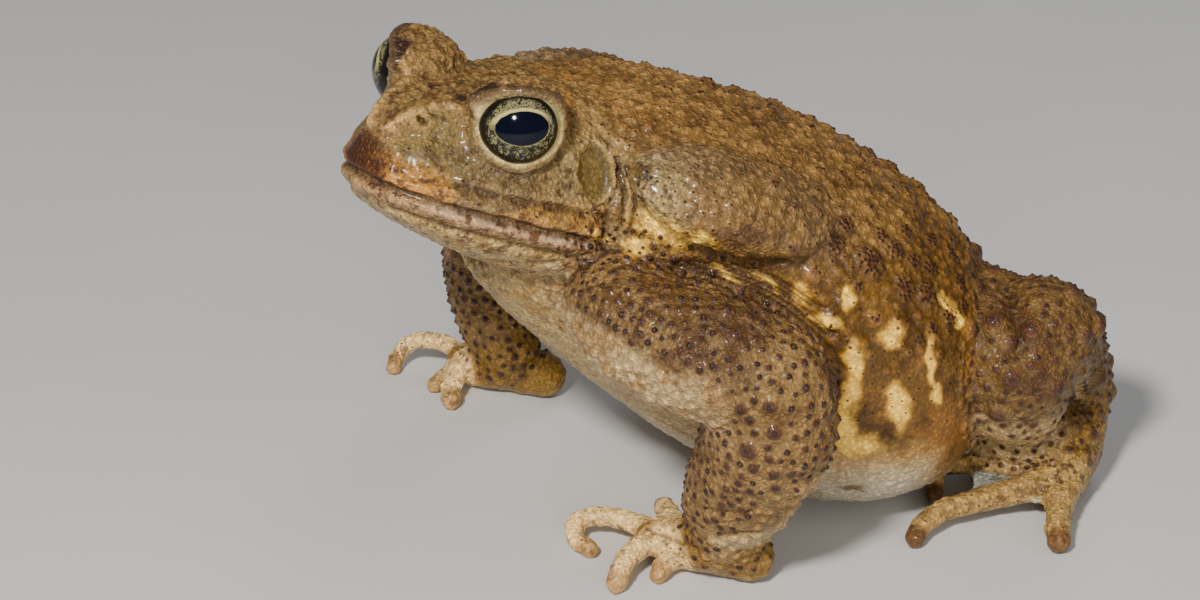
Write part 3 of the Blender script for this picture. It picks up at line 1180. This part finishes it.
def finish(name, constants):
    """A new material, its shader and a start for its sums."""
    mat = bpy.data.materials.new(name)
    mat.use_nodes = True
    shader = mat.node_tree.nodes["Principled BSDF"]
    for key, value in constants.items():
        shader.inputs[key].default_value = value
    return mat, shader, Shade(mat.node_tree)


def feed(shader, name, value):
    """Link a value to one of the shader's sockets."""
    value.tree.links.new(value.socket, shader.inputs[name])


def wobble(here, place, size, amount):
    """Shift a place by noise, so that the edges of marks wander."""
    turn = here.node("ShaderNodeTexNoise", None, {"Vector": place, "Scale": 1.0 / size, "Detail": 3.0}, 1)
    centred = here.node("ShaderNodeVectorMath", {"operation": "SUBTRACT"}, {0: turn, 1: (0.5, 0.5, 0.5)})
    scaled = here.node("ShaderNodeVectorMath", {"operation": "SCALE"}, {0: centred, 3: amount})
    return here.node("ShaderNodeVectorMath", {"operation": "ADD"}, {0: place, 1: scaled})


def skin_finish():
    """Moist, warty toad skin."""
    constants = {"Subsurface Weight": 0.1, "Subsurface Radius": (1.0, 0.4, 0.2), "Subsurface Scale": 0.0016,
                 "Coat Roughness": 0.14, "Specular IOR Level": 0.32}
    mat, shader, here = finish("toad_skin", constants)
    place = here.millimetres()
    loose = wobble(here, place, 3.0, 2.2)
    broad = here.cloud(place, 16, 3)
    patch = here.cloud(loose, 5, 3)
    fine = here.cloud(place, 1.1, 3, 0.65)
    dust = here.cloud(place, 0.35, 2, 0.6)
    grain = here.cells(wobble(here, place, 0.9, 0.5), 0.85)
    pebble = here.cells(place, 0.5)
    mottle = here.cloud(wobble(here, place, 1.2, 1.0), 2.2, 3, 0.6)
    mark = here.mark
    edge = (patch - 0.5) * 0.7 + (fine - 0.5) * 0.5

    colour = here.node("ShaderNodeValToRGB", {"stops": [(0.32, (0.118, 0.068, 0.022)), (0.5, (0.262, 0.158, 0.052)),
                                                        (0.68, (0.410, 0.265, 0.104))]}, {0: patch * 0.6 + broad * 0.4})
    colour = colour.into((0.300, 0.150, 0.075), (grain.step(0.55, 0.1)) * 0.35)
    colour = colour.into((0.268, 0.188, 0.082), mark("head") * 0.6)
    flank = here.node("ShaderNodeValToRGB", {"stops": [(0.35, (0.076, 0.038, 0.007)), (0.5, (0.138, 0.070, 0.010)),
                                                       (0.68, (0.238, 0.130, 0.020))]}, {0: patch * 0.5 + broad * 0.5})
    colour = colour.into(flank, mark("flank") * 0.9)
    colour = colour.into((0.290, 0.195, 0.082), mark("limb") * (0.5 + broad * 0.5))
    colour = colour.into((0.105, 0.058, 0.021), mark("limb") * (patch + edge * 0.6).step(0.5, 0.7) * 0.7)
    colour = colour.into((0.128, 0.072, 0.021), mark("leg") * (0.3 + broad * 0.5))
    colour = colour.into((0.075, 0.042, 0.022), mark("arm") * (1 - mark("forearm")) * (broad + edge).step(0.3, 0.6) * 0.72)
    colour = colour.into((0.100, 0.050, 0.022), mark("leg") * (broad + edge).step(0.5, 0.75) * 0.55)
    colour = colour.into((0.192, 0.132, 0.068), mark("gland") * 0.62)
    colour = colour.into((0.350, 0.170, 0.034), (mark("amber") + edge * 0.8).step(0.1, 1.1) * 0.6)
    pale = here.node("ShaderNodeValToRGB", {"stops": [(0.25, (0.270, 0.185, 0.085)), (0.5, (0.430, 0.340, 0.190)),
                                                      (0.75, (0.560, 0.490, 0.340))]}, {0: patch * 0.7 + fine * 0.3})
    pale = pale.into((0.470, 0.300, 0.095), mark("yellow") * (0.45 + patch * 0.6))
    pale = pale.into((0.510, 0.475, 0.400), (mark("belly_low") + edge * 0.9).step(0.05, 1.1) * 0.85)
    pale = pale.into((0.170, 0.100, 0.030), mark("throat") * (patch + edge).step(0.46, 0.66) * 0.75)
    pale = pale.into((0.440, 0.310, 0.115), mark("throat") * 0.4)
    colour = colour.into(pale, (mark("belly") + edge * 0.7).step(0.1, 0.95))
    inner = (mark("under") + (broad - 0.5) * 1.8 + edge * 1.4).step(0.15, 1.1)
    colour = colour.into((0.500, 0.390, 0.225), inner * 0.85)
    colour = colour.into((0.270, 0.165, 0.060), inner * mark("arm") * (patch + edge * 0.8).step(0.45, 0.64) * 0.65)
    shadow = here.node("ShaderNodeMix", {"data_type": "RGBA"}, {0: mark("flank"), 6: (0.090, 0.045, 0.026, 1),
                                                                7: (0.140, 0.078, 0.022, 1)}, 2)
    colour = colour.into(shadow, (mark("dark") + edge * 0.8).step(0.1, 1.05) * 0.75)
    colour = colour.into((0.570, 0.330, 0.050), (mark("cream") + edge * 0.8).step(-0.15, 0.8) * 0.65)
    colour = colour.into((0.940, 0.635, 0.150), (mark("cream") + edge * 0.6).step(0.15, 1.1) * 0.95)
    colour = colour.into((0.290, 0.235, 0.155), (mark("pores") + edge).step(0.1, 1.1) * 0.7)
    colour = colour.into((0.200, 0.152, 0.056), mark("olive") * 0.75)
    colour = colour.into((0.300, 0.220, 0.100), mark("olive") * (fine + edge).step(0.5, 0.75) * 0.6)
    colour = colour.into((0.400, 0.305, 0.150), mark("cheek") * (0.3 + patch * 0.4))
    colour = colour.into((0.420, 0.215, 0.042), (mark("orange") + edge * 1.0).step(-0.05, 1.1) * 0.85)
    colour = colour.into((0.130, 0.055, 0.015), mark("orange") * (mottle + edge * 0.3).step(0.5, 0.64) * 0.45)
    colour = colour.into((0.320, 0.190, 0.080), mark("lip") * (patch + edge).step(0.35, 0.6) * 0.6)
    colour = colour.into((0.340, 0.230, 0.125), mark("lower_lip") * 0.75)
    colour = colour.into((0.200, 0.105, 0.045), mark("lower_lip") * (patch + edge).step(0.5, 0.7) * 0.6)
    colour = colour.into((0.430, 0.380, 0.330), mark("wet_lip") * 0.35)
    colour = colour.into((0.180, 0.085, 0.035), mark("lip").most(mark("lower_lip")) * (mottle + edge * 0.3).step(0.5, 0.62) * 0.6)
    colour = colour.into((0.150, 0.055, 0.015), mark("orange") * (patch + edge).step(0.6, 0.75) * 0.5)
    colour = colour.into((0.070, 0.020, 0.005), (mark("snout_tip") + edge * 1.4).step(-0.03, 1.12) * 0.97)
    colour = colour.into((0.040, 0.020, 0.012), mark("dark") * mark("head") * 0.85)
    colour = colour.into((0.460, 0.300, 0.140), mark("canthus") * 0.8)
    colour = colour.into((0.108, 0.070, 0.038), mark("lid_skin") * 0.85)
    colour = colour.into((0.560, 0.500, 0.240), mark("lid_ring") * 0.95)
    colour = colour.into((0.185, 0.135, 0.065), mark("lower_lid") * 0.8)
    colour = colour.into((0.165, 0.118, 0.040), mark("drum") * 0.85)
    colour = colour.into((0.272, 0.168, 0.034), mark("hand").most(mark("foot")) * 0.72)
    colour = colour.into((0.860, 0.640, 0.330), mark("digit") * mark("toes").step(1.0, 0.0) * (0.75 + edge * 0.5))
    colour = colour.into((0.440, 0.305, 0.125), mark("digit") * mark("toes") * (0.75 + edge * 0.5))
    colour = colour.into((0.300, 0.340, 0.300), mark("web") * 0.85)
    colour = colour.into((0.250, 0.150, 0.065), mark("digit") * (mottle + edge * 0.4).step(0.5, 0.7) * 0.55)
    end = mark("finger_tip") + (fine - 0.5) * 0.4
    colour = colour.into((0.260, 0.150, 0.058), end.step(0.35, 1.0) * 0.75)
    colour = colour.into((0.085, 0.036, 0.014), end.step(0.4, 1.1) * mark("toes") * 0.85)
    warty = mark("wart")
    brown = here.node("ShaderNodeValToRGB", {"stops": [(0.35, (0.145, 0.066, 0.038)), (0.65, (0.330, 0.185, 0.110))]},
                      {0: patch * 0.6 + fine * 0.4})
    dry = 1 - mark("belly").most(mark("cream") * 0.8)
    colour = colour.into(brown, warty.step(0.3, 0.9) * dry * (0.2 + mark("limb") * 0.3))
    colour = colour.into((0.075, 0.034, 0.020), mark("core").step(0.0, 0.6) * mark("limb") * dry * 0.9)
    colour = colour.into((0.110, 0.042, 0.022), mark("core").step(0.45, 1.0) * (1 - mark("limb")) * dry * 0.75)
    colour = colour.into((0.055, 0.030, 0.014), mottle.step(0.5, 0.66) * 0.34 * (1 - (mark("belly_low") + mark("lid_ring") + mark("flank") * 0.6).least(1.0)))
    blot = (mottle + edge * 0.8).step(0.5, 0.68) * (mark("head") * 0.5 + mark("foot") * 0.5).least(0.5)
    colour = colour.into((0.080, 0.042, 0.018), blot * (1 - (mark("lid_ring") + mark("lid_skin") + mark("drum")).least(1.0)))
    freckle = (fine * 0.5 + dust * 0.5 + warty * 0.05).step(0.56, 0.66)
    colour = colour.into((0.060, 0.028, 0.012), freckle * 0.5 * (1 - mark("lid_ring").most(mark("lid_skin"))))
    colour = colour.into((0.022, 0.010, 0.007), (mark("spot") + edge * 0.2).step(0.25, 0.75) * 0.9)
    hollow = mark("hollow")
    colour = colour.into((0.050, 0.026, 0.012), (hollow.step(0.55, 0.95) * 0.5).most(mark("groove").step(0.3, 0.95) * 0.8))
    colour = colour.times(0.72 + hollow.step(0.5, 0.1) * 0.3 + grain.step(0.7, 0.1) * 0.36 + (dust - 0.5) * 0.6)
    colour = here.node("ShaderNodeGamma", None, {"Gamma": 1.28, "Color": colour})
    colour = here.node("ShaderNodeHueSaturation", None, {"Saturation": 1.0, "Value": 1.52, "Color": colour})
    feed(shader, "Base Color", colour)

    wet = (mark("wet_lip") + mark("gland") * 0.5 + mark("pores") * 1.2 + mark("lid_ring") * 0.6 + mark("lid_skin") * 0.7 + mark("lower_lid") * 0.5).least(1.0)
    feed(shader, "Roughness", (0.5 + (fine - 0.5) * 0.25 + (patch - 0.5) * 0.2 - wet * 0.22).most(0.18))
    feed(shader, "Coat Weight", (0.12 + (patch - 0.45) * 0.6 + wet * 0.6).most(0.0).least(1.0))

    smooth = (mark("lid_ring") + mark("drum") * 0.5 + mark("wet_lip") + mark("finger_tip") * 0.4).least(1.0)
    domes = grain.step(0.75, 0.0) * 0.55 + pebble.step(0.7, 0.0) * 0.3 + fine * 0.35 + dust * 0.15
    height = domes * (1 - smooth * 0.9) * (1 - mark("flank") * 0.5)
    bump = here.node("ShaderNodeBump", None, {"Strength": 0.9, "Distance": 0.00045, "Height": height})
    feed(shader, "Normal", bump)
    return mat


def eye_finish():
    """Glossy eye with a wide pupil, a gold rim and a speckled iris."""
    constants = {"Roughness": 0.12, "Coat Weight": 0.55, "Coat Roughness": 0.02, "Coat IOR": 1.33, "Specular IOR Level": 0.1}
    mat, shader, here = finish("toad_eye", constants)
    across = here.mark("across")
    rising = here.mark("rising")
    place = here.millimetres()
    cloud = here.cloud(place, 0.9, 3, 0.7)
    fleck = here.cloud(place, 0.3, 2, 0.6)
    lift = rising - across * 0.06
    pupil = ((across / 0.60) * (across / 0.60) + (lift / 0.385) * (lift / 0.385)) ** 0.5
    ring = ((across / 0.88) * (across / 0.88) + ((rising + 0.06) / 0.815) * ((rising + 0.06) / 0.815)) ** 0.5
    gold = (cloud * 0.5 + fleck * 0.5 + rising * 0.04 - ring * 0.03).step(0.44, 0.55) * 0.75
    colour = here.node("ShaderNodeMix", {"data_type": "RGBA"}, {0: gold, 6: (0.010, 0.010, 0.008, 1),
                                                               7: (0.300, 0.275, 0.130, 1)}, 2)
    rim = (rising - across * 0.2).step(0.0, 0.3)
    colour = colour.into((0.560, 0.480, 0.190), (pupil + (cloud - 0.5) * 0.3).step(1.24, 1.12) * rim * 0.85)
    colour = colour.into((0.300, 0.270, 0.110), pupil.step(1.08, 1.05) * 0.5)
    colour = colour.into((0.002, 0.003, 0.010), (pupil + (cloud - 0.5) * 0.08).step(1.03, 0.99))
    colour = colour.into((0.008, 0.007, 0.006), ring.step(0.82, 0.93))
    colour = colour.into((0.400, 0.350, 0.150), ring.step(1.0, 1.03))
    feed(shader, "Base Color", colour)
    return mat


def tip_finish():
    """Hard, dark, slightly glossy wart tips."""
    mat, shader, here = finish("wart_tip", {"Specular IOR Level": 0.5})
    place = here.millimetres()
    cloud = here.cloud(place, 0.8, 2)
    colour = here.node("ShaderNodeValToRGB", {"stops": [(0.35, (0.010, 0.006, 0.005)), (0.7, (0.060, 0.028, 0.016))]}, {0: cloud})
    feed(shader, "Base Color", colour)
    feed(shader, "Roughness", 0.3 + cloud * 0.3)
    return mat


def floor_finish():
    """Plain pale floor."""
    mat, shader, here = finish("floor", {})
    cloud = here.cloud(here.millimetres(), 60, 2)
    colour = here.node("ShaderNodeValToRGB", {"stops": [(0.0, (0.60, 0.60, 0.60)), (1.0, (0.64, 0.64, 0.64))]}, {0: cloud})
    feed(shader, "Base Color", colour)
    feed(shader, "Roughness", 0.6 + cloud * 0.1)
    return mat


def make_eye(name, side, move):
    """One eye: a ball with a slightly domed front."""
    obj = ball(name, (0, 0, 0), EYE_RADIUS, 96)
    points = np.array([tuple(v.co) for v in obj.data.vertices])
    spun = points[:, [2, 0, 1]]
    spread_out = np.arccos(np.clip(spun[:, 0] / EYE_RADIUS, -1, 1))
    dome = 1 + 0.05 * np.exp(-(spread_out / 0.75) ** 2)
    look = facing((side * EYE_LOOK[0], EYE_LOOK[1], EYE_LOOK[2]))
    place = head_matrix() @ Matrix.Translation((side * EYE_PLACE[0], EYE_PLACE[1], EYE_PLACE[2])) @ look
    shaped = spun * dome[:, None]
    turned = shaped @ np.array(place.to_3x3()).T + np.array(place.translation)
    obj.data.vertices.foreach_set("co", ((turned + move) * MM).ravel())
    for key, values in (("across", spun[:, 1] / EYE_RADIUS * side + IRIS_SHIFT), ("rising", spun[:, 2] / EYE_RADIUS)):
        layer = obj.data.attributes.new(key, "FLOAT", "POINT")
        layer.data.foreach_set("value", values.astype(np.float32))
    obj.data.polygons.foreach_set("use_smooth", [True] * len(obj.data.polygons))
    obj.data.update()
    return obj


def make_tips(hide, tips, move):
    """Small hard cones, one at the top of each wart that has one."""
    chance = np.random.default_rng(SEED + 1)
    points = []
    faces = []
    sides = 7
    rings = ((-0.35, 1.15), (0.05, 0.95), (0.3, 0.65), (0.45, 0.3))
    for index, radius in tips:
        turn = facing(hide.normals[index] + chance.uniform(-0.12, 0.12, 3)).to_3x3()
        centre = Vector(hide.points[index])
        first = len(points)
        for lift, share in rings:
            for step in range(sides):
                angle = 2 * math.pi * step / sides
                spot = Vector((lift * radius, share * radius * math.cos(angle), share * radius * math.sin(angle)))
                points.append(centre + turn @ spot)
        points.append(centre + turn @ Vector((0.5 * radius, 0, 0)))
        points.append(centre + turn @ Vector((-0.4 * radius, 0, 0)))
        for i in range(len(rings) - 1):
            for j in range(sides):
                k = (j + 1) % sides
                a = first + i * sides
                faces.append((a + j, a + k, a + sides + k, a + sides + j))
        last = first + (len(rings) - 1) * sides
        for j in range(sides):
            k = (j + 1) % sides
            faces.append((last + j, last + k, first + len(rings) * sides))
            faces.append((first + k, first + j, first + len(rings) * sides + 1))
    placed = (np.array([tuple(p) for p in points]) + move) * MM
    obj = mesh_object("wart_tips", placed, faces)
    obj.data.polygons.foreach_set("use_smooth", [True] * len(obj.data.polygons))
    return obj


def set_camera(move):
    """The photograph's camera."""
    data = bpy.data.cameras.new("camera")
    data.lens = CAMERA_LENS
    data.sensor_width = 36
    data.clip_start = 0.01
    obj = bpy.data.objects.new("camera", data)
    bpy.context.scene.collection.objects.link(obj)
    right, up, ahead = camera_turn()
    turn = Matrix((right, up, -ahead)).transposed().to_4x4()
    obj.matrix_world = Matrix.Translation((Vector(CAMERA_PLACE) + Vector(move)) * MM) @ turn
    bpy.context.scene.camera = obj


def set_light(name, place, size, power, colour=(1, 1, 1), gloss=True):
    """One soft lamp that faces the toad, with or without its own reflection."""
    data = bpy.data.lights.new(name, "AREA")
    data.shape = "DISK"
    data.size = size
    data.energy = power
    data.color = colour
    obj = bpy.data.objects.new(name, data)
    bpy.context.scene.collection.objects.link(obj)
    obj.location = place
    obj.rotation_euler = (Vector((0, 0, 0.03)) - Vector(place)).to_track_quat("-Z", "Y").to_euler()
    obj.visible_glossy = gloss


def set_stage():
    """Plain floor, soft lamps and a pale surround."""
    floor = mesh_object("floor", [(-3, -3, 0), (3, -3, 0), (3, 3, 0), (-3, 3, 0)], [(0, 1, 2, 3)])
    floor.location.z = -0.0002
    floor.data.materials.append(floor_finish())
    set_light("key", (0.40, -0.42, 0.56), 0.10, 7.4, (1.0, 0.96, 0.90))
    set_light("front", (0.62, -0.20, 0.22), 0.30, 1.5, (1.0, 0.97, 0.93), False)
    set_light("side", (0.65, 0.45, 0.45), 0.50, 1.0, (1, 1, 1), False)
    set_light("rim", (-0.5, 0.6, 0.6), 0.50, 1.8, (0.95, 0.97, 1.0), False)
    world = bpy.data.worlds.new("surround")
    world.use_nodes = True
    world.node_tree.nodes["Background"].inputs["Color"].default_value = (0.9, 0.89, 0.87, 1)
    world.node_tree.nodes["Background"].inputs["Strength"].default_value = 0.15
    bpy.context.scene.world = world


def build():
    """Dress the toad."""
    low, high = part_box("eye_left")
    centre = (low + high) / 2 / MM
    move = np.array(centre - head_matrix() @ Vector(EYE_PLACE))
    move[2] = 0
    skin, hide, tips = shape_skin()
    m = hide.masks
    y, z = hide.points[:, 1], hide.points[:, 2]
    m["flank"] = m["trunk"] * (1 - rise(z, 50, 64)) * rise(y, -30, -12)
    m["belly_low"] = m["trunk"] * np.maximum(1 - rise(z, 3, 16), (1 - rise(z, 8, 26)) * (1 - rise(y, 22, 36)))
    m["yellow"] = m["trunk"] * rise(y, -6, 8) * rise(z, 6, 14)
    m["toes"] = rise(y, 5, 12)
    m["throat"] = rise(-y, 14, 30) * (1 - rise(z, 76, 86))
    store(skin, hide, move)
    skin.data.materials.clear()
    skin.data.materials.append(skin_finish())
    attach(skin, "root")
    eyes = ("eye_left", "eye_right")
    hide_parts(*[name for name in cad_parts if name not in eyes])
    look = eye_finish()
    for name, side in (("eye_left", 1), ("eye_right", -1)):
        eye = make_eye(name.replace("eye", "eyeball"), side, move)
        eye.data.materials.clear()
        eye.data.materials.append(look)
        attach(eye, "root")
        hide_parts(name)
    points = make_tips(hide, tips, move)
    points.data.materials.append(tip_finish())
    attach(points, "root")
    set_camera(move)
    set_stage()


build()
